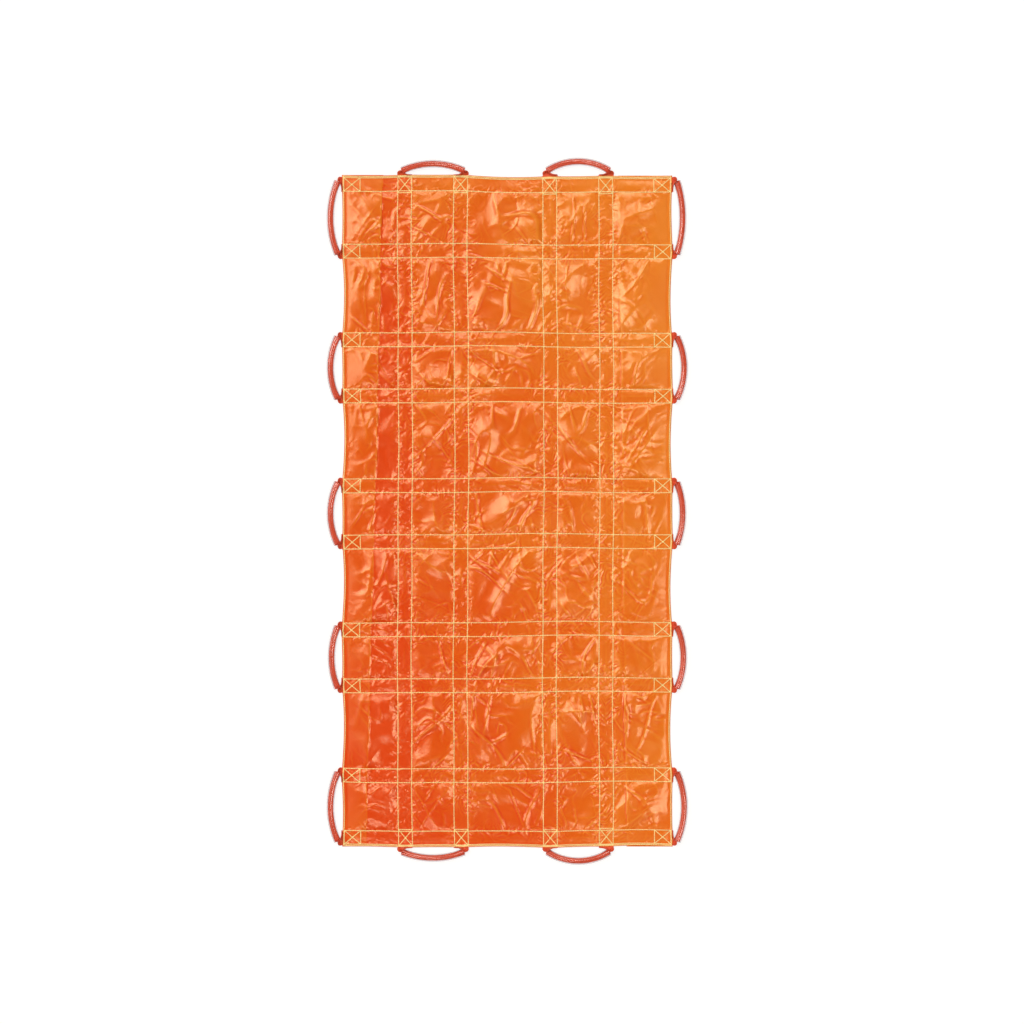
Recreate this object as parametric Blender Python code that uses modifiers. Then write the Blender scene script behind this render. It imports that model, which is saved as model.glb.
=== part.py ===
"""Rescue sheet: a vinyl carrying sheet with sewn webbing belts and fourteen tube-gripped handles.

The sheet lies open on the ground, face up: +Y is the head end, +X is the right side, and
the origin is on the ground under its middle. Everything is in metres.

From the ground up there are the cross belts, the long belts and the folded side hems, the
sheet's face and the thread on it. Each belt is an endless loop of webbing: two runs sewn under the
sheet, joined by a handle at each end. The handle part swings about the sheet's edge, so the
loop is made in pieces that meet there.
"""

import math

import bmesh
import bpy
from mathutils import Vector

# Sheet
SHEET_WIDTH = 0.885
SHEET_LENGTH = 1.800
SHEET_THICKNESS = 0.0006
HEM_FLAT = 0.006  # the sewn band along each edge lies flat

# Side hems, folded under the sheet and a little askew: their widths at the foot and at the head,
# as shares of the room between the sheet's edge and the nearest long belt
LEFT_HEM_SHARES = (0.43, 0.74)
RIGHT_HEM_SHARES = (0.78, 0.92)

# The sheet's folds between the belts
FOLD_MEAN = 0.0030  # how far a panel stands above its sewn edges on average
FOLD_HEIGHT = 0.0028  # how far its diagonal folds go above and below that
WIDE_PANEL = 0.150  # a panel wider than this has two fold lines across it, others one

# Webbing
WEB_WIDTH = 0.040
WEB_THICKNESS = 0.0016

# Belts, in pairs: (middle of the pair, distance between its two runs)
SIDE_PAIR_SPACING = 0.150
SIDE_PAIR_MIDDLES = (0.384, -0.006, -0.391)
END_BELT_SETBACK = 0.005  # from the sheet's end to the edge of the nearest cross belt
HEAD_PAIR_SPACING = 0.179
FOOT_PAIR_SPACING = 0.168
LONG_PAIR_SPACING = 0.150
LONG_PAIR_MIDDLES = (-0.199, 0.190)

# Stitching
THREAD_WIDTH = 0.0012
THREAD_HEIGHT = 0.0004
STITCH_INSET = 0.0015  # from a belt's edge to its row of stitches
BOX_STITCH_LENGTH = 0.044  # the crossed box that anchors each end of a belt
BOX_SETBACK = 0.0045  # from the sheet's edge to the box's outer row
HEM_SEAM_INSET = 0.003  # from the sheet's edge to the row round it

# Handle grips: clear tubes bent to an arc over the webbing
GRIP_DIAMETER = 0.020
GRIP_WALL = 0.0025
GRIP_END_REACH = 0.012  # from the sheet's edge to the middle of the tube's end
GRIP_MID_REACH = 0.035  # from the sheet's edge to the middle of the tube's bend
GRIP_OVERHANG = 0.008  # how far the tube's ends lie beyond the middles of the two runs
GRIP_SIDES_RESOLUTION = 4
GRIP_STEPS = 8
BUNDLE_THICKNESS = 0.0052  # the webbing folded in three inside the tube

# Handle webbing between the sheet's edge and the tube, as shares of the belt's width, of the way
# to the tube's end, and of a square section
ROOT_WIDTH_SHARE = 0.88
ROOT_REACH_SHARE = 0.25
NECK_WIDTH_SHARE = 0.4
NECK_REACH_SHARE = 0.55
NECK_SQUARENESS = 0.9
BUNDLE_SQUARENESS = 0.8

# Clearances
GAP = 0.0003  # between pieces that touch
HINGE_GAP = 0.0004  # where a handle's webbing meets the run under the sheet
SWING_CLEARANCE = 0.0006  # from the thread's top up to the handles' swing axis

# Colours, as linear red, green and blue
VINYL_ORANGE = (0.85, 0.16, 0.014)
WEB_ORANGE = (0.70, 0.075, 0.016)
THREAD_CREAM = (1.0, 0.56, 0.24)
GRIP_CLEAR = (0.85, 0.55, 0.50)

# Levels, from the ground up
LONG_BELT_LEVEL = WEB_THICKNESS + GAP
HEM_LEVEL = LONG_BELT_LEVEL  # the hems stop short of the long belts
SHEET_LEVEL = LONG_BELT_LEVEL + WEB_THICKNESS + GAP
SHEET_TOP = SHEET_LEVEL + SHEET_THICKNESS
CROSS_SEAM_LEVEL = SHEET_TOP + GAP
LONG_SEAM_LEVEL = CROSS_SEAM_LEVEL + THREAD_HEIGHT + GAP
SWING_LEVEL = LONG_SEAM_LEVEL + THREAD_HEIGHT + SWING_CLEARANCE

HALF_WIDTH = SHEET_WIDTH / 2
HALF_LENGTH = SHEET_LENGTH / 2
HALF_WEB = WEB_WIDTH / 2


def clear_scene():
    for obj in list(bpy.data.objects):
        bpy.data.objects.remove(obj)


def new_collection(name):
    found = bpy.data.collections.new(name)
    bpy.context.scene.collection.children.link(found)
    return found


def new_material(name, colour, roughness, alpha=1.0):
    material = bpy.data.materials.new(name)
    material.use_nodes = True
    shader = material.node_tree.nodes["Principled BSDF"]
    shader.inputs["Base Color"].default_value = (*colour, 1.0)
    shader.inputs["Roughness"].default_value = roughness
    shader.inputs["Metallic"].default_value = 0.0
    shader.inputs["Alpha"].default_value = alpha
    return material


def add_object(name, data, material, collection):
    obj = bpy.data.objects.new(name, data)
    if not data.materials:
        data.materials.append(material)
    collection.objects.link(obj)
    return obj


# Belt layout


def cross_pairs():
    """(middle, spacing) of each pair of cross belts, from head to foot."""
    end_run = HALF_LENGTH - END_BELT_SETBACK - HALF_WEB
    head = (end_run - HEAD_PAIR_SPACING / 2, HEAD_PAIR_SPACING)
    foot = (FOOT_PAIR_SPACING / 2 - end_run, FOOT_PAIR_SPACING)
    between = [(middle, SIDE_PAIR_SPACING) for middle in SIDE_PAIR_MIDDLES]
    return [head, *between, foot]


def long_pairs():
    """(middle, spacing) of each pair of long belts, from left to right."""
    return [(middle, LONG_PAIR_SPACING) for middle in LONG_PAIR_MIDDLES]


def runs_of(pairs, first):
    """The middle lines of the runs of these pairs. first is -1 to list the lower one first."""
    return [middle + side * spacing / 2 for middle, spacing in pairs for side in (first, -first)]


# Webbing runs under the sheet


def box_mesh(name, size):
    mesh = bpy.data.meshes.new(name)
    shape = bmesh.new()
    bmesh.ops.create_cube(shape, size=1.0)
    bmesh.ops.scale(shape, vec=Vector(size), verts=shape.verts)
    shape.to_mesh(mesh)
    shape.free()
    return mesh


def add_belt_runs(material, collection):
    cross = box_mesh("cross_run", (SHEET_WIDTH, WEB_WIDTH, WEB_THICKNESS))
    for number, y in enumerate(runs_of(cross_pairs(), 1), 1):
        run = add_object(f"cross_belt_{number}", cross, material, collection)
        run.location = (0, y, WEB_THICKNESS / 2)
    lengthwise = box_mesh("long_run", (WEB_WIDTH, SHEET_LENGTH, WEB_THICKNESS))
    for number, x in enumerate(runs_of(long_pairs(), -1), 1):
        run = add_object(f"long_belt_{number}", lengthwise, material, collection)
        run.location = (x, 0, LONG_BELT_LEVEL + WEB_THICKNESS / 2)


# Stitching on the sheet's face


def thread_outline(name, outlines, level):
    """A flat piece of thread: the first outline is its rim and the others are its holes."""
    curve = bpy.data.curves.new(name, "CURVE")
    curve.dimensions = "2D"
    curve.fill_mode = "BOTH"
    curve.extrude = THREAD_HEIGHT / 2
    for outline in outlines:
        spline = curve.splines.new("POLY")
        spline.points.add(len(outline) - 1)
        for point, (x, y) in zip(spline.points, outline, strict=True):
            point.co = (x, y, 0, 1)
        spline.use_cyclic_u = True
    return curve, level + THREAD_HEIGHT / 2


def rectangle(x, y, half_x, half_y):
    return [
        (x - half_x, y - half_y),
        (x + half_x, y - half_y),
        (x + half_x, y + half_y),
        (x - half_x, y + half_y),
    ]


def crossed_box_holes(x, half_x, half_y):
    """The four triangular holes of a box of stitches with a cross in it."""
    slant = math.atan2(half_y, half_x)
    along = THREAD_WIDTH / 2 / math.sin(slant)
    across = THREAD_WIDTH / 2 / math.cos(slant)
    holes = []
    for side in (-1, 1):
        holes.append(
            [
                (x + side * half_x, across - half_y),
                (x + side * half_x, half_y - across),
                (x + side * along, 0),
            ]
        )
        holes.append(
            [
                (x + along - half_x, side * half_y),
                (x + half_x - along, side * half_y),
                (x, side * across),
            ]
        )
    return holes


def belt_seam(name, length, level):
    """Two rows of stitches along a belt, with a crossed box at each end."""
    half_thread = THREAD_WIDTH / 2
    half_gauge = HALF_WEB - STITCH_INSET
    half_row = length / 2 - BOX_SETBACK
    hole_y = half_gauge - half_thread
    box_middle = half_row - BOX_STITCH_LENGTH / 2
    hole_x = BOX_STITCH_LENGTH / 2 - half_thread
    between = half_row - BOX_STITCH_LENGTH - half_thread
    outlines = [
        rectangle(0, 0, half_row + half_thread, half_gauge + half_thread),
        rectangle(0, 0, between, hole_y),
        *crossed_box_holes(-box_middle, hole_x, hole_y),
        *crossed_box_holes(box_middle, hole_x, hole_y),
    ]
    return thread_outline(name, outlines, level)


def add_seams(material, collection):
    cross, height = belt_seam("cross_rows", SHEET_WIDTH, CROSS_SEAM_LEVEL)
    for number, y in enumerate(runs_of(cross_pairs(), 1), 1):
        seam = add_object(f"cross_seam_{number}", cross, material, collection)
        seam.location = (0, y, height)
    lengthwise, height = belt_seam("long_rows", SHEET_LENGTH, LONG_SEAM_LEVEL)
    for number, x in enumerate(runs_of(long_pairs(), -1), 1):
        seam = add_object(f"long_seam_{number}", lengthwise, material, collection)
        seam.location = (x, 0, height)
        seam.rotation_euler.z = math.pi / 2
    outlines = [
        rectangle(0, 0, HALF_WIDTH - HEM_SEAM_INSET + offset, HALF_LENGTH - HEM_SEAM_INSET + offset)
        for offset in (THREAD_WIDTH / 2, -THREAD_WIDTH / 2)
    ]
    hem, height = thread_outline("hem_row", outlines, CROSS_SEAM_LEVEL)
    seam = add_object("hem_seam", hem, material, collection)
    seam.location.z = height


# Sheet


def sewn_bands(half, runs):
    """(low, high) of each flat, sewn band across the sheet, from low to high."""
    belts = [(run - HALF_WEB, run + HALF_WEB) for run in sorted(runs)]
    bands = [(-half, HEM_FLAT - half), *belts, (half - HEM_FLAT, half)]
    joined = [bands[0]]
    for low, high in bands[1:]:
        if low <= joined[-1][1]:
            joined[-1] = (joined[-1][0], max(high, joined[-1][1]))
        else:
            joined.append((low, high))
    return joined


def grid_lines(bands):
    """The sheet's grid lines one way, each with the panel that it crosses and its place in it."""
    lines = [(bands[0][0], -1, 0.0)]
    for panel, ((_, low), (high, _)) in enumerate(zip(bands, bands[1:])):
        steps = 3 if high - low > WIDE_PANEL else 2
        lines += [(low + (high - low) * step / steps, panel, step / steps) for step in range(steps + 1)]
    lines.append((bands[-1][1], len(bands) - 1, 0.0))
    return lines


def fold_rise(column, row):
    """How far the sheet stands above its sewn level: each panel has a fold from corner to corner."""
    (_, panel_x, share_x), (_, panel_y, share_y) = column, row
    inside = math.sin(math.pi * share_x) * math.sin(math.pi * share_y)
    lean = 1 if (panel_x + panel_y) % 2 else -1
    fold = math.cos(math.tau * (share_x + lean * share_y))
    return max(inside, 0.0) * (FOLD_MEAN + FOLD_HEIGHT * fold)


def hem_width(outermost_run, shares, y):
    room = HALF_WIDTH - abs(outermost_run) - HALF_WEB
    foot, head = shares
    return room * (foot + (head - foot) * (y + HALF_LENGTH) / SHEET_LENGTH)


def sheet_section(row, columns):
    """The sheet's inner face across one row as (x, z): hem, fold, face, fold and hem."""
    runs = runs_of(long_pairs(), -1)
    left_hem = hem_width(runs[0], LEFT_HEM_SHARES, row[0])
    right_hem = hem_width(runs[-1], RIGHT_HEM_SHARES, row[0])
    inner = HALF_WIDTH - SHEET_THICKNESS
    hem_top = HEM_LEVEL + SHEET_THICKNESS
    face = [(column[0], SHEET_LEVEL + fold_rise(column, row)) for column in columns[1:-1]]
    return [
        (left_hem - HALF_WIDTH, hem_top),
        (-inner, hem_top),
        (-inner, SHEET_LEVEL),
        *face,
        (inner, SHEET_LEVEL),
        (inner, hem_top),
        (HALF_WIDTH - right_hem, hem_top),
    ]


def add_sheet(material, collection):
    """The sheet and its two hems in one piece, thickened outwards by a Solidify modifier."""
    columns = grid_lines(sewn_bands(HALF_WIDTH, runs_of(long_pairs(), -1)))
    rows = grid_lines(sewn_bands(HALF_LENGTH, runs_of(cross_pairs(), -1)))
    shape = bmesh.new()
    grid = [
        [shape.verts.new((x, row[0], z)) for x, z in sheet_section(row, columns)] for row in rows
    ]
    for line, following in zip(grid, grid[1:]):
        for index in range(len(line) - 1):
            corners = (line[index], line[index + 1], following[index + 1], following[index])
            shape.faces.new(corners)
    mesh = bpy.data.meshes.new("sheet")
    shape.to_mesh(mesh)
    shape.free()
    sheet = add_object("sheet", mesh, material, collection)
    solidify = sheet.modifiers.new("thickness", "SOLIDIFY")
    solidify.thickness = SHEET_THICKNESS
    solidify.offset = 1.0
    solidify.use_even_offset = True


# Handles, in a frame of their own: X points away from the sheet's edge, Y along it


def grip_arc(spacing):
    """The tube's middle line as (x, y, angle from the bend's middle), from one end to the other."""
    half_chord = spacing / 2 + GRIP_OVERHANG
    rise = GRIP_MID_REACH - GRIP_END_REACH
    radius = (half_chord**2 + rise**2) / (2 * rise)
    half_angle = math.asin(half_chord / radius)
    middle = GRIP_MID_REACH - radius
    angles = [half_angle * (2 * step / GRIP_STEPS - 1) for step in range(GRIP_STEPS + 1)]
    return [(middle + radius * math.cos(a), radius * math.sin(a), a) for a in angles]


def grip_curve(name, spacing):
    """An open tube along the arc; its wall comes from a Solidify modifier."""
    curve = bpy.data.curves.new(name, "CURVE")
    curve.dimensions = "3D"
    curve.bevel_depth = GRIP_DIAMETER / 2
    curve.bevel_resolution = GRIP_SIDES_RESOLUTION
    curve.use_fill_caps = False
    arc = grip_arc(spacing)
    spline = curve.splines.new("POLY")
    spline.points.add(len(arc) - 1)
    for point, (x, y, _) in zip(spline.points, arc, strict=True):
        point.co = (x, y, GRIP_DIAMETER / 2 - SWING_LEVEL, 1)
    spline.use_smooth = True
    return curve


def web_section(middle, across, half_width, half_thickness, corner):
    """Eight points round the webbing. corner is 1 for square edges, less for rounded ones."""
    outline = [
        (-corner, -1),
        (0, -1),
        (corner, -1),
        (1, 0),
        (corner, 1),
        (0, 1),
        (-corner, 1),
        (-1, 0),
    ]
    up = Vector((0, 0, half_thickness))
    side = Vector((*across, 0)) * half_width
    return [Vector(middle) + side * x + up * z for x, z in outline]


def bundle_section(middle, across):
    """The folded webbing, which just fits the bore. The bore is a polygon of this many sides."""
    sides = 4 + 2 * GRIP_SIDES_RESOLUTION
    bore = GRIP_DIAMETER / 2 - GRIP_WALL
    half_width = bore * math.cos(math.pi / sides) - GAP
    return web_section(middle, across, half_width, BUNDLE_THICKNESS / 2, BUNDLE_SQUARENESS)


def loop_sections(spacing, level):
    """The handle's webbing from one run's end to the middle of the tube, as a list of sections."""
    run = spacing / 2
    grip_height = GRIP_DIAMETER / 2
    web_height = level + WEB_THICKNESS / 2
    arc = grip_arc(spacing)
    end_x, end_y, end_angle = arc[-1]
    outward = Vector((math.cos(end_angle), math.sin(end_angle)))
    onward = Vector((-math.sin(end_angle), math.cos(end_angle)))
    mouth = Vector((end_x, end_y)) + onward * GRIP_WALL
    half_root = HALF_WEB * ROOT_WIDTH_SHARE
    root = Vector((GRIP_END_REACH * ROOT_REACH_SHARE, run + HALF_WEB - half_root))
    neck_across = (outward + Vector((0, 1))).normalized()
    half_neck = HALF_WEB * NECK_WIDTH_SHARE
    neck = Vector((GRIP_END_REACH * NECK_REACH_SHARE, run + HALF_WEB - half_neck))
    sections = [
        web_section((HINGE_GAP, run, web_height), (0, 1), HALF_WEB, WEB_THICKNESS / 2, 1),
        web_section((*root, web_height), (0, 1), half_root, WEB_THICKNESS / 2, 1),
        web_section(
            (*neck, (web_height + grip_height) / 2),
            neck_across,
            half_neck,
            (WEB_THICKNESS + BUNDLE_THICKNESS) / 4,
            NECK_SQUARENESS,
        ),
        bundle_section((*mouth, grip_height), outward),
    ]
    for x, y, angle in reversed(arc[GRIP_STEPS // 2 :]):
        across = (math.cos(angle), math.sin(angle))
        sections.append(bundle_section((x, y, grip_height), across))
    return sections


def loop_mesh(name, spacing, level):
    """The handle's webbing as one lofted solid, alike on both sides of the tube's middle."""
    half = loop_sections(spacing, level)
    mirrored = [[Vector((p.x, -p.y, p.z)) for p in section] for section in reversed(half[:-1])]
    sections = half + mirrored
    drop = Vector((0, 0, SWING_LEVEL))
    shape = bmesh.new()
    rings = [[shape.verts.new(point - drop) for point in section] for section in sections]
    for ring, following in zip(rings, rings[1:]):
        for index, vertex in enumerate(ring):
            after = (index + 1) % len(ring)
            shape.faces.new((vertex, ring[after], following[after], following[index]))
    shape.faces.new(reversed(rings[0]))
    shape.faces.new(rings[-1])
    bmesh.ops.recalc_face_normals(shape, faces=shape.faces)
    bmesh.ops.triangulate(shape, faces=shape.faces)
    mesh = bpy.data.meshes.new(name)
    shape.to_mesh(mesh)
    shape.free()
    return mesh


def add_handle(place, number, spacing, level, position, turn, materials, collection):
    """One handle: its webbing and its tube, hung from an empty on the swing axis."""
    web_material, grip_material = materials
    pivot = bpy.data.objects.new(f"{place}_handle_{number}", None)
    pivot.location = (*position, SWING_LEVEL)
    pivot.rotation_euler.z = turn
    collection.objects.link(pivot)
    loop_name = f"{place}_loop_{number}"
    loop = add_object(loop_name, loop_mesh(loop_name, spacing, level), web_material, collection)
    loop.parent = pivot
    grip_name = f"{place}_grip_{number}"
    grip = add_object(grip_name, grip_curve(grip_name, spacing), grip_material, collection)
    grip.parent = pivot
    wall = grip.modifiers.new("wall", "SOLIDIFY")
    wall.thickness = GRIP_WALL
    wall.offset = -1.0


def add_handles(materials, collection):
    for number, (middle, spacing) in enumerate(cross_pairs(), 1):
        for place, side, turn in (("left", -1, math.pi), ("right", 1, 0.0)):
            position = (side * HALF_WIDTH, middle)
            add_handle(place, number, spacing, 0.0, position, turn, materials, collection)
    for number, (middle, spacing) in enumerate(long_pairs(), 1):
        for place, side in (("head", 1), ("foot", -1)):
            position = (middle, side * HALF_LENGTH)
            turn = side * math.pi / 2
            add_handle(place, number, spacing, LONG_BELT_LEVEL, position, turn, materials, collection)


def main():
    clear_scene()
    collection = new_collection("rescue_sheet")
    vinyl = new_material("vinyl_orange", VINYL_ORANGE, 0.35)
    webbing = new_material("webbing_orange", WEB_ORANGE, 0.7)
    thread = new_material("thread_cream", THREAD_CREAM, 0.6)
    clear = new_material("grip_clear", GRIP_CLEAR, 0.1, alpha=0.4)
    add_belt_runs(webbing, collection)
    add_sheet(vinyl, collection)
    add_seams(thread, collection)
    add_handles((webbing, clear), collection)


main()
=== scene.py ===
"""The rescue sheet, dressed: wrinkled glossy vinyl, sewn webbing and clear handle tubes.

Everything is in metres in the part's own frame: the sheet lies on the ground, +Y is its head
end and +X its right side.
"""

import math

import bpy
import numpy as np
from mathutils import Matrix, Vector


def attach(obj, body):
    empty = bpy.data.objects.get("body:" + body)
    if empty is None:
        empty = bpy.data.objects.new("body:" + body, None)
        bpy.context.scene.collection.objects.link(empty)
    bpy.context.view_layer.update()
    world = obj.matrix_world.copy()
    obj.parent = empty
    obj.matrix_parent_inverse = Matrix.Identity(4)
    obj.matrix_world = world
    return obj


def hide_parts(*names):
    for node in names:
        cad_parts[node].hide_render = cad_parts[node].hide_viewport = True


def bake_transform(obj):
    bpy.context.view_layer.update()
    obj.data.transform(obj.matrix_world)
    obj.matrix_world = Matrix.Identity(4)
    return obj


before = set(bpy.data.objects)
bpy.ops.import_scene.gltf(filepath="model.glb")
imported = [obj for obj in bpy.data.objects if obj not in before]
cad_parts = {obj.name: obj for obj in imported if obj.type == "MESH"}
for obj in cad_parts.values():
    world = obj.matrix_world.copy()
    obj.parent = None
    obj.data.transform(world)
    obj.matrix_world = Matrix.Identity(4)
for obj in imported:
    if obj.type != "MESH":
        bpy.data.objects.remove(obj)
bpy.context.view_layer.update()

# The part's layout
HALF_WIDTH = 0.4425
HALF_LENGTH = 0.9
LONG_RUNS = (-0.274, -0.124, 0.115, 0.265)
CROSS_RUNS = (0.875, 0.696, 0.459, 0.309, 0.069, -0.081, -0.316, -0.466, -0.707, -0.875)
HALF_WEB = 0.020
ROW_OFFSET = 0.0185  # from a belt's middle to its rows of stitches
EDGE_ROW = 0.003  # from the sheet's edge to the row round it
BOX_SETBACK = 0.0045  # from the sheet's edge to a crossed box
BOX_LENGTH = 0.044
ROOT_BODY = "carrying_sheet"

# Heights
SHEET_TOP = 0.0044
CLOTH_THICKNESS = 0.0006
HEM_TOP = 0.0025
LONG_BELT_LEVEL = 0.0019
WEB_THICKNESS = 0.0016

# Hem widths at the foot and at the head
LEFT_HEM = (0.064, 0.110)
RIGHT_HEM = (0.123, 0.145)

# How high a hem lifts the face, how soft that step is, and how far the side fold bulges out and
# the hem's inner edge hangs down
HEM_RIDGE = 0.0005
HEM_STEP = 0.003
FOLD_BULGE = 0.0007
HEM_DROOP = 0.0002

# Noise: the size of its table, what brings it to about -1 to 1, how fine the wandering of folds
# is beside them, how much patches differ, and how round the crests are
NOISE_CELLS = 256
NOISE_GAIN = 1.5
WANDER_FINENESS = 0.7
PATCH_CONTRAST = 1.2
PATCH_LIMITS = (0.05, 1.4)
CREST_ROUNDING = 0.0009

# The solver's grids from coarse to fine: step, stiffness and rounds
SOLVER_GRIDS = (
    (0.030, 0.0001, 300),
    (0.016, 0.0004, 300),
    (0.009, 0.0012, 300),
    (0.0061, 0.0026, 220),
)

# In each round of the solver: the share of its speed that a point keeps, how hard the cloth pulls,
# the most that each moves it in grid steps, and the share of its height that a pinned point keeps
COAST = 0.85
COAST_LIMIT = 0.05
PULL = 0.22
PULL_LIMIT = 0.1
PIN_SETTLING = 0.55

# The share of its length that the cloth has to spare, straight and on the slant, and the sizes of
# the patches where it varies
SPARE_LENGTH = 0.0065
SPARE_SLANT = 0.007
SPARE_PATCH = 0.20
DIRECTION_PATCH = 0.26
SLANT_PATCH = 0.17

# What the solver starts from: height, size and seed of each layer of noise
FIRST_FOLDS = ((0.004, 0.10, 1), (0.003, 0.055, 2))

# How far the cloth can sag, and how far from the belts that is
SAG_DEPTH = 0.003
SAG_REACH = 0.02

# How high the cloth can lift between the rows of a belt, and elsewhere
SEWN_LIFT = 0.0010
HIGHEST_FOLD = 0.012

# The face's mesh, and how much of the solved folds shows in it, off the belts and on them
FACE_STEP = 0.0027
FOLD_SHARE = 0.40
SEWN_SHARE = 0.12

# Heights of the creases that the solver leaves out
BROAD_RIDGE = 0.0080
SMALL_RIDGE = 0.0010
SLANTED_FOLD = 0.0028
LOOSE_FOLD = 0.0012
HEM_CREASE = 0.0034

# The ways that the slanted folds run, as degrees and seed, and their stretch
SLANTED_WAYS = ((54, 51), (-38, 61), (-75, 71))
SLANTED_STRETCH = 2.6

# Where those creases fade: near the rows of stitches, near the sheet's edge and on the belts
ROW_FADE = 0.016
EDGE_FADE = 0.012
EDGE_FADING = 0.7
BELT_CREASING = 0.5

# The puckers at the rows of stitches: their height and reach at the rows along and across the
# sheet, their spacing, stretch, wander and patches, how much they lean, and over what lengths
# that varies, along a row and away from it
LONG_PUCKER = 0.0037
LONG_REACH = 0.012
CROSS_PUCKER = 0.0029
CROSS_REACH = 0.010
PUCKER_SPACING = 0.026
PUCKER_STRETCH = 1.4
PUCKER_WANDER = 1.6
PUCKER_PATCH = 0.07
PUCKER_LEAN = 1.3
LEAN_ALONG = 0.05
LEAN_AWAY = 0.06

# How high the cloth can stand near its edge, where the raised tubes lean in over it, how far in
# that reaches, how fast the cloth can rise from there, and how far in its own lift is lessened
EDGE_LIFT = 0.0005
EDGE_CALM = 0.012
EDGE_SLOPE = 0.15
EDGE_LIFT_FADE = 0.03

# How far the sewn cloth wanders from its drawn lines, in long and in short waves
LONG_DRIFT = 0.0020
SHORT_DRIFT_ACROSS = 0.0009
SHORT_DRIFT_ALONG = 0.0010

# How far the sheet's edge draws in at the middle of the widest gap between belts, the share
# of that at the ends, and where from the middle it starts
EDGE_DRAW = 0.0055
WIDEST_GAP = 0.241
END_DRAW_SHARE = 0.7
SIDE_DRAW_START = 0.29
END_DRAW_START = 0.72

# The sheet's tone, 0 deep orange and 1 pale: its middle, the painted light that it gains to the
# right and to the head, its clouds, the painted sheen on the paler left hem, the painted shade on the
# deeper strip beside it, the most painted highlight that a crest adds and painted shade that a hollow
# takes, and how far above the points around it one that added 1 would stand
TONE_MIDDLE = 0.5
PAINTED_LIGHT_ACROSS = 0.30
PAINTED_LIGHT_ALONG = 0.16
TONE_CLOUDS = 0.2
CLOUD_SIZE = 0.19
HEM_PAINTED_SHEEN = 0.07
STRIP_PAINTED_SHADE = 0.24
CREASE_PAINTED_SHADING = 0.4
CREASE_SHADING_DEPTH = 0.0005

# Fine curls at the rows of stitches: the size of their patches and their reach
CURL_PATCH = 0.10
LONG_CURL_REACH = 0.012
CROSS_CURL_REACH = 0.009

# Stitches: on the face, and pulled flat under the cloth or webbing
STITCH_LENGTH = 0.0046
STITCH_GAP = 0.0003
STITCH_HALF_WIDTH = 0.0012
STITCH_FLATNESS = 0.9
STITCH_CROWN = 0.0001
UNDER_HALF_WIDTH = 0.0008
UNDER_DROP = 0.0003

# Along a stitch: the place, the width and the share of the crown, then the same underneath
STITCH_PROFILE = ((0.0, 0.55, 0.0), (0.15, 1.0, 0.9), (0.85, 1.0, 0.9), (1.0, 0.55, 0.0))
UNDER_PROFILE = ((0.06, 0.4), (0.3, 1.0), (0.7, 1.0), (0.94, 0.4))
STITCH_SIDES = 3

# Webbing under the sheet: how round its edges are, and its points across and steps along
WEB_ROUNDING = 0.45
WEB_COLUMNS = 7
RUN_STEP = 0.02

# Handles. A reach is from the sheet's edge to the tube's middle line, the play is how much thinner
# the tube is than its solid, and the overhang is how far its ends go past the runs' middles
GRIP_RADIUS = 0.010
GRIP_WALL = 0.0025
GRIP_PLAY = 0.0001
GRIP_END_REACH = 0.012
GRIP_MID_REACHES = {
    "left": (0.031, 0.031, 0.031, 0.028, 0.031),
    "right": (0.027, 0.031, 0.027, 0.029, 0.031),
    "head": (0.030, 0.036),
    "foot": (0.028, 0.036),
}
GRIP_OVERHANG = 0.008
GRIP_STATIONS = 41
GRIP_SIDES = 28
SHARP_DEGREES = 60

# The webbing folded in three in its tube: the flat part's half width, the bends, half its height,
# the degrees that each side turns, the points across it, and the share of its thickness drawn
HALF_FOLDED = 0.0052
INNER_BEND = 0.0010
OUTER_BEND = 0.0019
HALF_STACK = 0.0019
FOLD_DEGREES = 176
FOLD_FINE_POINTS = 401
FOLD_POINTS = 49
LOOP_THINNING = 0.85

# The handle's webbing, out from the sheet's edge: where it lies flat, the shares of the way from
# there to the tube's mouth where it folds, and where it bends with the handle
FLAT_STATIONS = (-0.030, -0.015, -0.004, 0.0, 0.001)
FOLDING_SHARES = np.linspace(0.12, 0.94, 8)

# Colours
VINYL_DEEP = (0.83, 0.054, 0.0005)
VINYL_MIDDLE = (0.86, 0.126, 0.002)
VINYL_PALE = (0.91, 0.228, 0.014)
VINYL_SHEEN = (1.0, 0.73, 0.36, 1)
WEB_DEEP = (0.72, 0.064, 0.016)
WEB_PALE = (0.84, 0.090, 0.026)
THREAD_DEEP = (1.0, 0.68, 0.25)
THREAD_PALE = (1.0, 0.84, 0.40)
TUBE_CLEAR = (0.95, 0.90, 0.88)
TUBE_RIM = (0.50, 0.34, 0.37)
FLOOR_COLOUR = (0.95, 0.95, 0.95, 1)

# Relief of the vinyl: long creases, short creases, curls at the stitches, and grain
LONG_CREASE_DEPTH = 0.0010
SHORT_CREASE_DEPTH = 0.0006
CURL_DEPTH = 0.0042
GRAIN_DEPTH = 0.0002
GRAIN_STRENGTH = 0.1

# The floor, and how much of its glow the camera sees
FLOOR_HALF = 9
FLOOR_LEVEL = -0.0006
GLOW_STRENGTH = 1.1
GLOW_SHARE = 0.7

# The room's level, and each light's direction, the angles where it fades and ends, and its
# strength. The first is the dark camera stand straight above
ROOM_LEVEL = 0.12
LAMP_COLOUR = (1.0, 0.97, 0.88, 1.0)
SOFT_LIGHTS = (
    ((0, 0, 1), 3, 14, -0.08),
    ((-0.40, 0.30, 1), 1, 18, 5.4),
    ((0.44, -0.20, 1), 1, 14, 5.4),
    ((0.08, 0.46, 1), 1, 11, 4.6),
    ((-0.12, -0.44, 1), 1, 10, 4.6),
    ((-0.90, 0.05, 1), 4, 28, 1.0),
    ((0.15, 0.90, 1), 4, 28, 1.0),
    ((0.80, -0.60, 1), 4, 28, 0.8),
    ((-1.30, 0.85, 1), 12, 32, 1.1),
)

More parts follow.
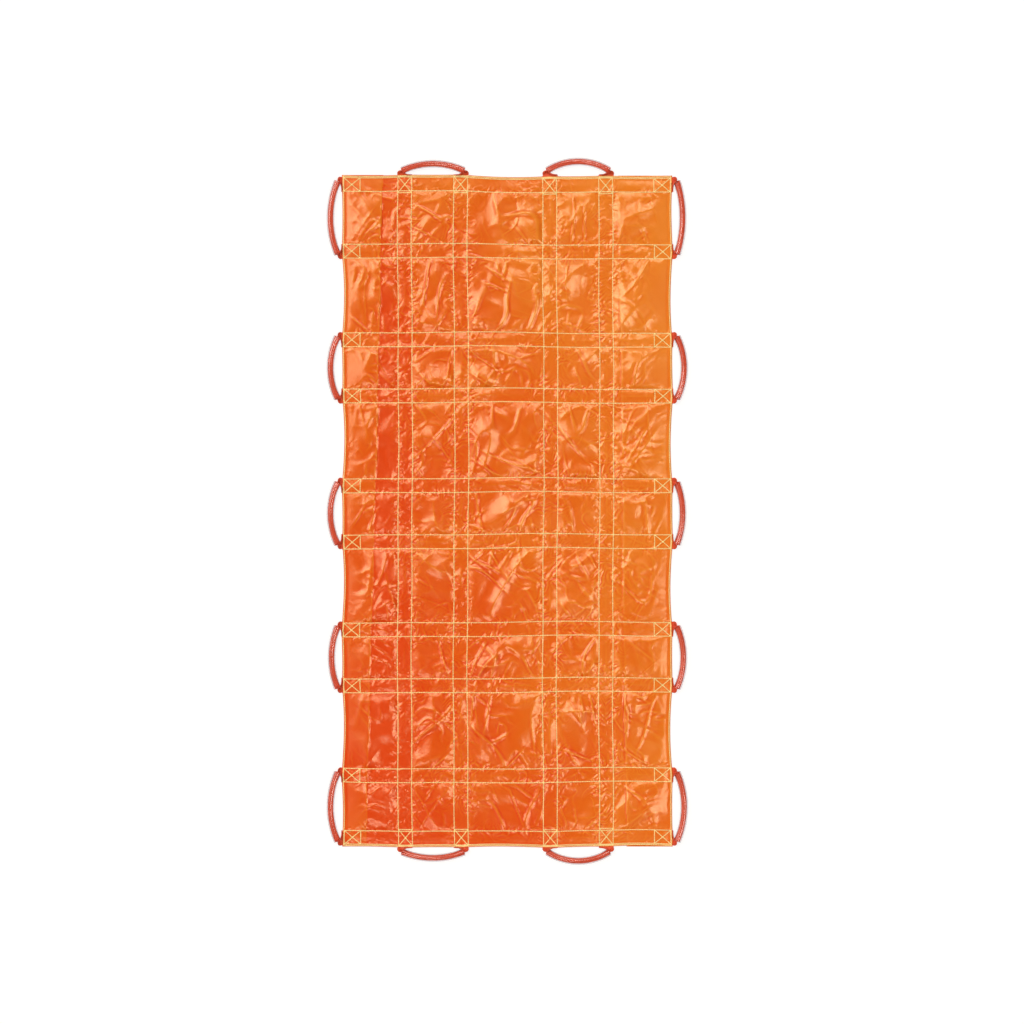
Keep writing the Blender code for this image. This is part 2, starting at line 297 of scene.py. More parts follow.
# The camera. PIXEL is one photo pixel on the ground, and PICTURE_MIDDLE is in pixels from the
# sheet's middle
CAMERA_HEIGHT = 7.0
SENSOR_WIDTH = 36
PIXEL = 0.00268
PHOTO_WIDTH = 1024
PICTURE_MIDDLE = (4.7, -0.8)


# Noise, folds and grids


def noise(x, y, seed):
    """Smooth noise from about -1 to 1, with features about 1 across."""
    turns = np.random.default_rng(seed).uniform(0, math.tau, (NOISE_CELLS, NOISE_CELLS))
    low_x, low_y = np.floor(x).astype(int), np.floor(y).astype(int)
    s, t = x - low_x, y - low_y

    def corner(a, b):
        turn = turns[(low_x + a) % NOISE_CELLS, (low_y + b) % NOISE_CELLS]
        return np.cos(turn) * (s - a) + np.sin(turn) * (t - b)

    fade_s, fade_t = (share**3 * (share * (share * 6 - 15) + 10) for share in (s, t))
    low = corner(0, 0) * (1 - fade_s) + corner(1, 0) * fade_s
    high = corner(0, 1) * (1 - fade_s) + corner(1, 1) * fade_s
    return NOISE_GAIN * (low * (1 - fade_t) + high * fade_t)


def wandering_noise(x, y, size, seed, wander):
    """Noise with features of about this size, pushed about by noise of its own."""
    u, v = x / size, y / size
    shift_u = wander * noise(u * WANDER_FINENESS, v * WANDER_FINENESS, seed + 1)
    shift_v = wander * noise(u * WANDER_FINENESS, v * WANDER_FINENESS, seed + 2)
    return noise(u + shift_u, v + shift_v, seed)


def ridges(x, y, size, seed, wander):
    """Sharp-crested folds about this far apart: 0 in troughs, 1 on crests."""
    level = wandering_noise(x, y, size, seed, wander)
    return (1 - np.sqrt(level * level + CREST_ROUNDING)) ** 2


def thin_folds(x, y, size, seed, wander, width):
    """Narrow folds: 1 on their crests, 0 away from them."""
    return np.exp(-((wandering_noise(x, y, size, seed, wander) / width) ** 2))


def slanted(x, y, degrees):
    """Places turned and squeezed along one direction, so that folds mostly run that way."""
    turn = math.radians(degrees)
    along = x * math.cos(turn) + y * math.sin(turn)
    return along / SLANTED_STRETCH, y * math.cos(turn) - x * math.sin(turn)


def patches(x, y, size, seed, share):
    """How much of an effect each place has, from 0 up, in patches of about this size."""
    return np.clip(share + PATCH_CONTRAST * noise(x / size, y / size, seed), *PATCH_LIMITS)


def grid_lines(half, runs, step):
    """Grid lines across the sheet about this far apart, and the ones that are rows of stitches."""
    rows = [run + side * ROW_OFFSET for run in runs for side in (-1, 1)]
    marks = sorted([-half, EDGE_ROW - half, half - EDGE_ROW, half, *rows])
    lines = [marks[0]]
    for low, high in zip(marks, marks[1:]):
        count = max(1, round((high - low) / step))
        lines += [low + (high - low) * (index + 1) / count for index in range(count)]
    return np.array(lines), np.array(marks)


def off_lines(values, lines):
    """The distance to the nearest line."""
    return np.min([np.abs(values - line) for line in lines], axis=0)


def off_rows(values, runs):
    """The distance to the nearest row of stitches."""
    away = [np.abs(values - run - side * ROW_OFFSET) for run in runs for side in (-1, 1)]
    return np.min(away, axis=0)


def off_edge(x, y):
    """The distance to the sheet's edge."""
    return np.minimum(HALF_WIDTH - np.abs(x), HALF_LENGTH - np.abs(y))


def on_belts(x, y):
    """Where the cloth is sewn down on webbing."""
    return (off_lines(x, LONG_RUNS) < ROW_OFFSET) | (off_lines(y, CROSS_RUNS) < ROW_OFFSET)


def hem_edge(y, widths, side):
    """Where the hem's inner edge runs under the sheet."""
    foot, head = widths
    return side * (HALF_WIDTH - foot - (head - foot) * (y + HALF_LENGTH) / (2 * HALF_LENGTH))


def over_hem(x, y, widths, side):
    """1 where the hem is under the face and -1 where it isn't, with a soft step between."""
    return np.tanh(side * (x - hem_edge(y, widths, side)) / HEM_STEP)


def between(array, axis):
    """The means of neighbours along an axis."""
    return (array[1:] + array[:-1]) / 2 if axis == 0 else (array[:, 1:] + array[:, :-1]) / 2


def curvature(height):
    """How far the points around each point stand above it on average."""
    bend = np.zeros_like(height)
    around = height[2:, 1:-1] + height[:-2, 1:-1] + height[1:-1, 2:] + height[1:-1, :-2]
    bend[1:-1, 1:-1] = around / 4 - height[1:-1, 1:-1]
    return bend


def resampled(values, old, new):
    """Values at the old lines, along the first axis, taken smoothly to the new lines."""
    slopes = np.gradient(values, old, axis=0)
    low = np.clip(np.searchsorted(old, new) - 1, 0, len(old) - 2)
    gap = (old[low + 1] - old[low]).reshape(-1, *[1] * (values.ndim - 1))
    t = (new - old[low]).reshape(gap.shape) / gap
    start = (1 + 2 * t) * (1 - t) ** 2 * values[low] + t * (1 - t) ** 2 * gap * slopes[low]
    end = t**2 * (3 - 2 * t) * values[low + 1] + t**2 * (t - 1) * gap * slopes[low + 1]
    return start + end


def regridded(values, old_x, old_y, x, y):
    """Values on one grid taken smoothly to another."""
    rows = resampled(values, old_y, y)
    return np.swapaxes(resampled(np.swapaxes(rows, 0, 1), old_x, x), 0, 1)


# The wrinkled sheet: cloth with a little too much length is sewn to its rows and buckles


def gather(x, y):
    """How much too long the cloth is across, along and on the slant, as shares of its length."""
    spare = SPARE_LENGTH * patches(x, y, SPARE_PATCH, seed=5, share=0.9)
    across = spare * patches(x, y, DIRECTION_PATCH, seed=17, share=0.9)
    along = spare * patches(x, y, DIRECTION_PATCH, seed=19, share=0.9)
    slant = SPARE_SLANT * noise(x / SLANT_PATCH, y / SLANT_PATCH, seed=23)
    return across, along, slant


def cloth_lengths(x, y, grid_x, grid_y):
    """How long the cloth is between neighbours across, along and on both slants."""
    across, along, slant = gather(grid_x, grid_y)
    wide = np.diff(x)[None, :] * (1 + between(across, 1))
    tall = np.diff(y)[:, None] * (1 + between(along, 0))
    diagonal = np.hypot(between(wide, 0), between(tall, 1))
    skew = between(between(slant, 0), 1)
    return wide, tall, diagonal * (1 + skew), diagonal * (1 - skew)


def ground_under(x, y):
    """How far the cloth can sag between the belts before it lies on the ground."""
    off_middles = np.minimum(off_lines(x, LONG_RUNS), off_lines(y, CROSS_RUNS))
    off_belts = np.clip(off_middles - HALF_WEB, 0, SAG_REACH) / SAG_REACH
    return -SAG_DEPTH * off_belts**1.5


def first_folds(x, y):
    """The heights that the solver starts from."""
    return sum(height * noise(x / size, y / size, seed) for height, size, seed in FIRST_FOLDS)


def relax(points, flat, pinned, lengths, low, high, step, stiffness, rounds):
    """Moves the points until neighbours are as far apart as the cloth between them is long."""
    across, along, slant_a, slant_b = lengths
    springs = (
        (np.s_[:, :-1], np.s_[:, 1:], across),
        (np.s_[:-1, :], np.s_[1:, :], along),
        (np.s_[:-1, :-1], np.s_[1:, 1:], slant_a),
        (np.s_[:-1, 1:], np.s_[1:, :-1], slant_b),
    )
    before = points.copy()
    for _ in range(rounds):
        coast = np.clip((points - before) * COAST, -COAST_LIMIT * step, COAST_LIMIT * step)
        before = points
        points = points + coast
        pull = np.zeros_like(points)
        for start, end, length in springs:
            reach = points[end] - points[start]
            distance = np.sqrt((reach * reach).sum(-1))
            half = reach * ((distance - length) / distance / 2)[..., None]
            pull[start] += half
            pull[end] -= half
        points += np.clip(pull * PULL, -PULL_LIMIT * step, PULL_LIMIT * step)
        height = points[..., 2]
        height -= stiffness * curvature(curvature(height))
        points[..., :2] = np.where(pinned[..., None], flat[..., :2], points[..., :2])
        height *= np.where(pinned, PIN_SETTLING, 1.0)
        np.clip(height, low, high, out=height)
    return points


def wrinkled_sheet():
    """How far the face moves from flat, solved on ever finer grids: (x lines, y lines, shifts)."""
    shift = None
    for step, stiffness, rounds in SOLVER_GRIDS:
        x, x_marks = grid_lines(HALF_WIDTH, LONG_RUNS, step)
        y, y_marks = grid_lines(HALF_LENGTH, CROSS_RUNS, step)
        grid_x, grid_y = np.meshgrid(x, y)
        flat = np.stack([grid_x, grid_y, np.zeros_like(grid_x)], -1)
        pinned = np.isin(grid_x, x_marks) | np.isin(grid_y, y_marks)
        points = flat.copy()
        if shift is None:
            points[..., 2] = first_folds(grid_x, grid_y)
        else:
            points += regridded(shift, old_x, old_y, x, y)
        lengths = cloth_lengths(x, y, grid_x, grid_y)
        low = ground_under(grid_x, grid_y)
        high = np.where(on_belts(grid_x, grid_y), SEWN_LIFT, HIGHEST_FOLD)
        points = relax(points, flat, pinned, lengths, low, high, step, stiffness, rounds)
        old_x, old_y, shift = x, y, points - flat
    return x, y, shift


def panel_creases(x, y):
    """Ridges, thin folds that mostly run three ways, and the hems' own creases."""
    broad = ridges(x, y, size=0.16, seed=17, wander=0.8)
    creases = BROAD_RIDGE * patches(x, y, size=0.22, seed=11, share=0.80) * broad
    small = ridges(x, y, size=0.060, seed=19, wander=0.8)
    creases += SMALL_RIDGE * patches(x, y, size=0.13, seed=15, share=0.15) * small
    for degrees, seed in SLANTED_WAYS:
        folds = thin_folds(*slanted(x, y, degrees), size=0.085, seed=seed + 1, wander=0.8, width=0.09)
        creases += SLANTED_FOLD * patches(x, y, size=0.15, seed=seed, share=0.30) * folds
    loose = thin_folds(x, y, size=0.06, seed=21, wander=0.7, width=0.14)
    creases += LOOSE_FOLD * patches(x, y, size=0.10, seed=13, share=0.25) * loose
    hemmed = (over_hem(x, y, LEFT_HEM, -1) > 0) | (over_hem(x, y, RIGHT_HEM, 1) > 0)
    tight = ridges(x, y, size=0.055, seed=83, wander=1.2)
    creases += HEM_CREASE * hemmed * patches(x, y, size=0.09, seed=81, share=0.6) * tight
    return creases


def puckers(x, y, off_long, off_cross):
    """The folds that run into the rows of stitches along and across the sheet."""
    lean = PUCKER_LEAN * noise(x / LEAN_AWAY, y / LEAN_ALONG, seed=29) * off_long
    along = patches(x, y, PUCKER_PATCH, seed=37, share=0.60)
    along *= ridges(x / PUCKER_STRETCH, y + lean, PUCKER_SPACING, seed=31, wander=PUCKER_WANDER)
    lean = PUCKER_LEAN * noise(x / LEAN_ALONG, y / LEAN_AWAY, seed=39) * off_cross
    across = patches(x, y, PUCKER_PATCH, seed=43, share=0.52)
    across *= ridges(x + lean, y / PUCKER_STRETCH, PUCKER_SPACING, seed=41, wander=PUCKER_WANDER)
    height = LONG_PUCKER * np.exp(-off_long / LONG_REACH) * along
    height += CROSS_PUCKER * np.exp(-off_cross / CROSS_REACH) * across
    return height


def crumple(x, y):
    """The height of the creases in the panels and of the puckers at the stitches."""
    off_long, off_cross = off_rows(x, LONG_RUNS), off_rows(y, CROSS_RUNS)
    inside = 1 - np.exp(-np.minimum(off_long, off_cross) / ROW_FADE)
    inside *= 1 - EDGE_FADING * np.exp(-off_edge(x, y) / EDGE_FADE)
    inside *= np.where(on_belts(x, y), BELT_CREASING, 1.0)
    return inside * panel_creases(x, y) + puckers(x, y, off_long, off_cross)


def scallop(values, runs):
    """How far an edge draws in between the belts that reach it."""
    drawn = np.zeros_like(values)
    stops = sorted(runs)
    for low, high in zip(stops, stops[1:]):
        share = np.clip((values - low) / (high - low), 0, 1)
        drawn = drawn + EDGE_DRAW * ((high - low) / WIDEST_GAP) ** 2 * 4 * share * (1 - share)
    return drawn


def drift(x, y):
    """How far the sewn cloth wanders from its drawn lines, across and along."""
    across = LONG_DRIFT * np.sin(5.1 * y + 0.6) * np.cos(3.0 * x)
    across = across + SHORT_DRIFT_ACROSS * np.sin(17 * y + 5 * x)
    along = LONG_DRIFT * np.sin(6.3 * x + 2.6 * y + 1.1)
    along = along + SHORT_DRIFT_ALONG * np.sin(15 * x + 4 * y + 0.4)
    side = np.clip((np.abs(x) - SIDE_DRAW_START) / (HALF_WIDTH - SIDE_DRAW_START), 0, 1) ** 2
    end = np.clip((np.abs(y) - END_DRAW_START) / (HALF_LENGTH - END_DRAW_START), 0, 1) ** 2
    across = across - side * np.sign(x) * scallop(y, CROSS_RUNS)
    end_draw = end * np.sign(y) * scallop(x, (-HALF_WIDTH, *LONG_RUNS, HALF_WIDTH))
    return across, along - end_draw * END_DRAW_SHARE


def held_down(height, x, y):
    """The face's height above the ground, kept low near the sheet's edge."""
    inward = off_edge(x, y)
    limit = EDGE_LIFT + EDGE_SLOPE * np.maximum(inward - EDGE_CALM, 0)
    lift = height * (1 - EDGE_FADING * np.exp(-inward / EDGE_LIFT_FADE))
    return SHEET_TOP + limit * np.tanh(lift / limit)


class Face:
    """The sheet's face, to place things on it by their flat x and y."""

    def __init__(self):
        solved_x, solved_y, folds = wrinkled_sheet()
        self.x, _ = grid_lines(HALF_WIDTH, LONG_RUNS, FACE_STEP)
        self.y, _ = grid_lines(HALF_LENGTH, CROSS_RUNS, FACE_STEP)
        x, y = np.meshgrid(self.x, self.y)
        ridge = HEM_RIDGE * (over_hem(x, y, LEFT_HEM, -1) + over_hem(x, y, RIGHT_HEM, 1) + 2)
        across, along = drift(x, y)
        flat = np.stack([x + across, y + along, ridge + crumple(x, y)], -1)
        share = np.where(on_belts(x, y), SEWN_SHARE, FOLD_SHARE)[..., None]
        self.points = flat + share * regridded(folds, solved_x, solved_y, self.x, self.y)
        self.points[..., 2] = held_down(self.points[..., 2], x, y)

    def at(self, x, y):
        """The points of the face at these flat places."""
        x, y = np.broadcast_arrays(np.asarray(x, float), np.asarray(y, float))
        column = np.clip(np.searchsorted(self.x, x) - 1, 0, len(self.x) - 2)
        row = np.clip(np.searchsorted(self.y, y) - 1, 0, len(self.y) - 2)
        s = ((x - self.x[column]) / (self.x[column + 1] - self.x[column]))[..., None]
        t = ((y - self.y[row]) / (self.y[row + 1] - self.y[row]))[..., None]
        low = self.points[row, column] * (1 - s) + self.points[row, column + 1] * s
        high = self.points[row + 1, column] * (1 - s) + self.points[row + 1, column + 1] * s
        return low * (1 - t) + high * t


# Meshes


def new_object(name, vertices, faces, material):
    mesh = bpy.data.meshes.new(name)
    mesh.from_pydata([tuple(v) for v in vertices], [], faces)
    mesh.materials.append(material)
    item = bpy.data.objects.new(name, mesh)
    bpy.context.scene.collection.objects.link(item)
    return item


def new_piece(name, vertices, faces, material):
    """A smooth piece with the given material."""
    piece = new_object(name, vertices, faces, material)
    piece.data.polygons.foreach_set("use_smooth", [True] * len(faces))
    return piece


def strip_faces(rows, columns, closed=False, offset=0):
    """Quads between neighbours in a grid of points. closed joins the last column to the first."""
    faces = []
    for row in range(rows - 1):
        for column in range(columns if closed else columns - 1):
            after = (column + 1) % columns
            corners = (row, column), (row, after), (row + 1, after), (row + 1, column)
            faces.append(tuple(offset + r * columns + c for r, c in corners))
    return faces


# The sheet


def sheet_tone_and_painted_light(face, x, y):
    """How pale each point is, from 0, deep orange, to 1, pale, with painted light, sheen, shade and
    highlights in it.
    """
    # Painted light: paler to the right and to the head
    tone = TONE_MIDDLE + PAINTED_LIGHT_ACROSS * x / HALF_WIDTH + PAINTED_LIGHT_ALONG * y / HALF_LENGTH
    tone = tone + TONE_CLOUDS * noise(x / CLOUD_SIZE, y / CLOUD_SIZE, seed=47)
    doubled = over_hem(x, y, LEFT_HEM, -1)
    # Painted sheen: the left hem paler where the face lies over it
    tone += HEM_PAINTED_SHEEN * (doubled + 1)
    # Painted shade: the strip from the left hem out to the first long belt made deeper
    tone -= STRIP_PAINTED_SHADE * ((doubled < 0) & (x < LONG_RUNS[0] + HALF_WEB))
    # Painted shade in the hollows and painted highlight on the crests
    tone -= np.clip(curvature(face.points[..., 2]) / CREASE_SHADING_DEPTH, -CREASE_PAINTED_SHADING, CREASE_PAINTED_SHADING)
    return np.clip(tone, 0, 1)


def sheet_curls(x, y):
    """How puckered by stitches each point is, from 0 to 1."""
    off_long, off_cross = off_rows(x, LONG_RUNS), off_rows(y, CROSS_RUNS)
    curls = np.exp(-off_long / LONG_CURL_REACH) * patches(x, y, CURL_PATCH, seed=53, share=0.55)
    curls += np.exp(-off_cross / CROSS_CURL_REACH) * patches(x, y, CURL_PATCH, seed=59, share=0.45)
    return np.clip(curls, 0, 1)


def paint_sheet(sheet, face, left, right):
    """Stores the tone, with its painted light and shade, and the curls at the points of the face and of the
    hems' columns.
    """
    x, y = np.meshgrid(face.x, face.y)
    hems = ((0, 0), (left, right))
    tone = np.pad(sheet_tone_and_painted_light(face, x, y), hems, mode="edge")
    curls = np.pad(sheet_curls(x, y), hems)
    for name, values in (("tone", tone), ("curls", curls)):
        paint = sheet.data.attributes.new(name, "FLOAT", "POINT")
        paint.data.foreach_set("value", values.ravel())


def hem_columns(face, edge, widths, side):
    """The points of a side's fold and of the hem under it, from the face's edge inwards."""
    hem_z = HEM_TOP - CLOTH_THICKNESS / 2
    inner_x = hem_edge(face.y, widths, side) + edge[:, 0] - side * HALF_WIDTH
    middle_x = (inner_x + edge[:, 0]) / 2
    fold = edge + np.array([side * FOLD_BULGE, 0, 0])
    fold[:, 2] = (edge[:, 2] + hem_z) / 2
    columns = [fold]
    for x, z in ((edge[:, 0], hem_z), (middle_x, hem_z), (inner_x, hem_z - HEM_DROOP)):
        columns.append(np.stack([x, edge[:, 1], np.full_like(x, z)], -1))
    return columns


def add_sheet(face, material):
    """The face, the folds along its sides and the hems under it, as one thin cloth."""
    top = face.points - np.array([0, 0, CLOTH_THICKNESS / 2])
    left = hem_columns(face, top[:, 0], LEFT_HEM, -1)
    right = hem_columns(face, top[:, -1], RIGHT_HEM, 1)
    grid = np.stack([*reversed(left), *np.moveaxis(top, 1, 0), *right], axis=1)
    faces = strip_faces(grid.shape[0], grid.shape[1])
    sheet = new_piece("vinyl_sheet", grid.reshape(-1, 3), faces, material)
    paint_sheet(sheet, face, len(left), len(right))
    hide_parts("sheet")
    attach(sheet, ROOT_BODY)


# Belts under the sheet


def rounded_web(half_width, thickness):
    """Points round a webbing's section, from its lower left corner."""
    half = half_width - thickness * WEB_ROUNDING
    across = np.linspace(-half, half, WEB_COLUMNS)
    lower = [(x, 0.0) for x in across]
    upper = [(x, thickness) for x in reversed(across)]
    return [*lower, (half_width, thickness / 2), *upper, (-half_width, thickness / 2)]


def add_run(name, start, end, level, material):
    """A webbing run with the sewn cloth's drift. Its stitches fit in the space under it."""
    start, end = np.array(start), np.array(end)
    length = np.linalg.norm(end - start)
    count = int(length / RUN_STEP)
    along = (end - start) / length
    across = np.array([-along[1], along[0]])
    section = rounded_web(HALF_WEB, WEB_THICKNESS - UNDER_DROP)
    vertices = []
    for share in np.linspace(0, 1, count):
        middle = start + (end - start) * share
        shift = np.array(drift(*middle))
        for width, height in section:
            place = middle + shift + across * width
            vertices.append((*place, level + UNDER_DROP + height))
    size = len(section)
    faces = strip_faces(count, size, closed=True)
    faces += [tuple(reversed(range(size))), tuple(range((count - 1) * size, count * size))]
    run = new_piece(f"{name}_web", vertices, faces, material)
    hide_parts(name)
    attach(run, ROOT_BODY)


def add_runs(material):
    """The runs across the sheet, and the ones along it that lie on them."""
    for number, y in enumerate(CROSS_RUNS, 1):
        add_run(f"cross_belt_{number}", (-HALF_WIDTH, y), (HALF_WIDTH, y), 0.0, material)
    for number, x in enumerate(LONG_RUNS, 1):
        ends = (x, -HALF_LENGTH), (x, HALF_LENGTH)
        add_run(f"long_belt_{number}", *ends, LONG_BELT_LEVEL, material)


# Stitches


def stitch_count(start, end):
    return max(1, round(float(np.linalg.norm(end - start)) / STITCH_LENGTH))


def stitches_along(face, start, end):
    """Where the stitches of a straight row start and where they end, on the face."""
    start, end = np.array(start), np.array(end)
    shares = np.linspace(0, 1, stitch_count(start, end) + 1)[:, None]
    flat = start + (end - start) * shares
    points = face.at(flat[:, 0], flat[:, 1])
    return points[:-1], points[1:]


def stitch_faces(vertices, flip):
    """The faces of all stitches, from one stitch's grid of points."""
    quads = strip_faces(len(STITCH_PROFILE), STITCH_SIDES)
    if flip:
        quads = [tuple(reversed(quad)) for quad in quads]
    size = len(STITCH_PROFILE) * STITCH_SIDES
    starts = range(0, len(vertices), size)
    return [tuple(start + corner for corner in quad) for start in starts for quad in quads]


def raised_stitches(starts, ends):
    """The points of a raised pod of thread between each start and end."""
    along = ends - starts
    length = np.linalg.norm(along, axis=1, keepdims=True)
    along = along / length
    side = np.cross(np.array([0, 0, 1.0]), along)
    side /= np.linalg.norm(side, axis=1, keepdims=True)
    up = np.cross(along, side)
    vertices = []
    for share, width, crown in STITCH_PROFILE:
        middle = starts + along * (STITCH_GAP / 2 + (length - STITCH_GAP) * share)
        for angle in np.linspace(0, math.pi, STITCH_SIDES):
            out = math.cos(angle) * STITCH_HALF_WIDTH * width
            lift = math.sin(angle) * STITCH_HALF_WIDTH * STITCH_FLATNESS * width
            vertices.append(middle + side * out + up * (lift + STITCH_CROWN * crown))
    return np.stack(vertices, axis=1).reshape(-1, 3)


def flat_stitches(rows, levels):
    """The points of the same stitches pulled flat underneath, each row at its level."""
    shares, widths = np.array(UNDER_PROFILE).T
    vertices = []
    for (start, end), level in zip(rows, levels):
        start, end = np.array(start), np.array(end)
        count = stitch_count(start, end)
        along = (end - start) / count
        side = np.array([-along[1], along[0]]) / np.linalg.norm(along) * UNDER_HALF_WIDTH
        stations = np.arange(count)[:, None] + shares
        middle = start + along * stations[..., None]
        middle = middle + np.stack(drift(middle[..., 0], middle[..., 1]), -1)
        points = []
        for across in (-1, 0, 1):
            place = middle + side * across * widths[:, None]
            drop = UNDER_DROP * widths * (1 - abs(across))
            height = np.broadcast_to(level - drop, place.shape[:2])
            points.append(np.concatenate([place, height[..., None]], -1))
        vertices.append(np.stack(points, axis=2).reshape(-1, 3))
    return np.concatenate(vertices)


def add_seam(name, rows, levels, face, material):
    """A seam's stitches on the face, and under it at each row's level."""
    starts, ends = zip(*(stitches_along(face, *row) for row in rows))
    raised = raised_stitches(np.concatenate(starts), np.concatenate(ends))
    under = flat_stitches(rows, levels)
    faces = stitch_faces(raised, flip=False)
    faces += [tuple(len(raised) + corner for corner in quad) for quad in stitch_faces(under, flip=True)]
    vertices = np.concatenate([raised, under])
    seam = new_piece(f"{name}_thread", vertices, faces, material)
    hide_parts(name)
    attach(seam, ROOT_BODY)


def belt_rows(half_length, middle, lengthwise):
    """The rows of stitches of one run: two along it and a crossed box at each end."""
    row_end = half_length - BOX_SETBACK
    rows = [((-row_end, side * ROW_OFFSET), (row_end, side * ROW_OFFSET)) for side in (-1, 1)]
    for side in (-1, 1):
        outer, inner = side * row_end, side * (row_end - BOX_LENGTH)
        for start, end in ((outer, outer), (inner, inner), (inner, outer), (outer, inner)):
            rows.append(((start, -ROW_OFFSET), (end, ROW_OFFSET)))
    if lengthwise:
        return [tuple((middle + b, a) for a, b in row) for row in rows]
    return [tuple((a, middle + b) for a, b in row) for row in rows]


def add_seams(face, material):
    """A seam for each run, and the row round the sheet's edge."""
    for number, y in enumerate(CROSS_RUNS, 1):
        rows = belt_rows(HALF_WIDTH, y, lengthwise=False)
        add_seam(f"cross_seam_{number}", rows, [UNDER_DROP] * len(rows), face, material)
    for number, x in enumerate(LONG_RUNS, 1):
        rows = belt_rows(HALF_LENGTH, x, lengthwise=True)
        levels = [LONG_BELT_LEVEL + UNDER_DROP] * len(rows)
        add_seam(f"long_seam_{number}", rows, levels, face, material)
    width, length = HALF_WIDTH - EDGE_ROW, HALF_LENGTH - EDGE_ROW
    corners = [(-width, -length), (width, -length), (width, length), (-width, length)]
    rows = list(zip(corners, corners[1:] + corners[:1]))
    under_sheet, under_hem = SHEET_TOP - CLOTH_THICKNESS, HEM_TOP - CLOTH_THICKNESS
    add_seam("hem_seam", rows, (under_sheet, under_hem) * 2, face, material)


# Handles: built in a frame of their own, with X away from the sheet and Y along its edge


def grip_path(spacing, reach):
    """The tube's middle line: points and the directions away from its bend's middle."""
    half_chord = spacing / 2 + GRIP_OVERHANG
    rise = reach - GRIP_END_REACH
    radius = (half_chord**2 + rise**2) / (2 * rise)
    limit = math.asin(half_chord / radius)
    angles = np.linspace(-limit, limit, GRIP_STATIONS)
    out = np.stack([np.cos(angles), np.sin(angles), 0 * angles], -1)
    middle = np.array([reach - radius, 0, GRIP_RADIUS])
    return middle + radius * out, out


def tube_rings(path, out, radius):
    """The points round a tube, ring after ring."""
    up = np.array([0, 0, 1.0])
    rings = []
    for point, away in zip(path, out):
        for side in range(GRIP_SIDES):
            angle = math.tau * side / GRIP_SIDES
            rings.append(point + radius * (away * math.cos(angle) + up * math.sin(angle)))
    return rings


def tube_faces():
    """The outside of a tube, its bore, and the rims that join them at both ends."""
    inside = GRIP_STATIONS * GRIP_SIDES
    outer = strip_faces(GRIP_STATIONS, GRIP_SIDES, closed=True)
    faces = [tuple(reversed(face)) for face in outer]
    faces += strip_faces(GRIP_STATIONS, GRIP_SIDES, closed=True, offset=inside)
    for row, flip in ((0, True), (GRIP_STATIONS - 1, False)):
        for side in range(GRIP_SIDES):
            after = (side + 1) % GRIP_SIDES
            rim = (row * GRIP_SIDES + side, row * GRIP_SIDES + after)
            corners = (*rim, inside + rim[1], inside + rim[0])
            faces.append(corners if flip else tuple(reversed(corners)))
    return faces


def add_grip(name, body, bow, place, material):
    """A handle's clear tube, open at both ends."""
    path, out = grip_path(*bow)
    outer = tube_rings(path, out, GRIP_RADIUS - GRIP_PLAY)
    inner = tube_rings(path, out, GRIP_RADIUS - GRIP_WALL)
    vertices = [place @ Vector(v) for v in outer + inner]
    grip = new_piece(f"{name}_tube", vertices, tube_faces(), material)
    grip.data.set_sharp_from_angle(angle=math.radians(SHARP_DEGREES))
    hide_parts(name)
    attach(grip, body)


def folded_section(fold):
    """A webbing's middle line across its width, from flat (0) to folded in three (1)."""
    fine = np.linspace(-HALF_WEB, HALF_WEB, FOLD_FINE_POINTS)
    step = fine[1] - fine[0]
    turn = np.zeros_like(fine)
    for side, bend_radius in ((1, INNER_BEND), (-1, OUTER_BEND)):
        share = np.clip((side * fine - HALF_FOLDED) / (math.pi * bend_radius), 0, 1)
        turn += side * math.radians(FOLD_DEGREES) * fold * share
    line_x = np.cumsum(np.cos(turn)) * step
    line_z = np.cumsum(np.sin(turn)) * step
    middle = len(fine) // 2
    line_x += fold * (OUTER_BEND - INNER_BEND) / 2 - line_x[middle]
    line_z -= line_z[middle]
    width = np.linspace(-HALF_WEB, HALF_WEB, FOLD_POINTS)
    return np.interp(width, fine, line_x), np.interp(width, fine, line_z)


def half_loop(bow, level):
    """Stations from under the sheet to the middle of the tube: (middle, across, fold)."""
    spacing, _ = bow
    run = spacing / 2
    path, out = grip_path(*bow)
    half = GRIP_STATIONS // 2 + 1
    path, out = path[::-1][:half], out[::-1][:half]
    mouth = path[0]
    edgeways = np.array([0, 1.0, 0])
    flat_z = level + WEB_THICKNESS / 2
    stations = [(np.array([x, run, flat_z]), edgeways, 0.0) for x in FLAT_STATIONS]
    start = stations[-1][0]
    for share in FOLDING_SHARES:
        ease = share * share * (3 - 2 * share)
        across = edgeways * (1 - ease) + out[0] * ease
        across /= np.linalg.norm(across)
        middle = start * (1 - share) + mouth * share
        middle[2] = flat_z * (1 - ease) + (mouth[2] - HALF_STACK) * ease
        stations.append((middle, across, ease))
    for point, away in zip(path, out):
        stations.append((point - np.array([0, 0, HALF_STACK]), away, 1.0))
    return stations


def add_loop(name, bow, level, place, material):
    """A handle's webbing, from under the sheet, folded in three through the tube, and back."""
    half = half_loop(bow, level)
    flip = np.array([1, -1, 1])
    stations = half + [(middle * flip, across * flip, fold) for middle, across, fold in reversed(half[:-1])]
    vertices = []
    for middle, across, fold in stations:
        for x, z in zip(*folded_section(fold)):
            vertices.append(place @ Vector(middle + across * x + np.array([0, 0, z])))
    faces = strip_faces(len(stations), FOLD_POINTS)
    loop = new_piece(f"{name}_web", vertices, faces, material)
    solidify = loop.modifiers.new("thickness", "SOLIDIFY")
    solidify.thickness = WEB_THICKNESS * LOOP_THINNING
    solidify.offset = 0.0
    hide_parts(name)
    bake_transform(loop)


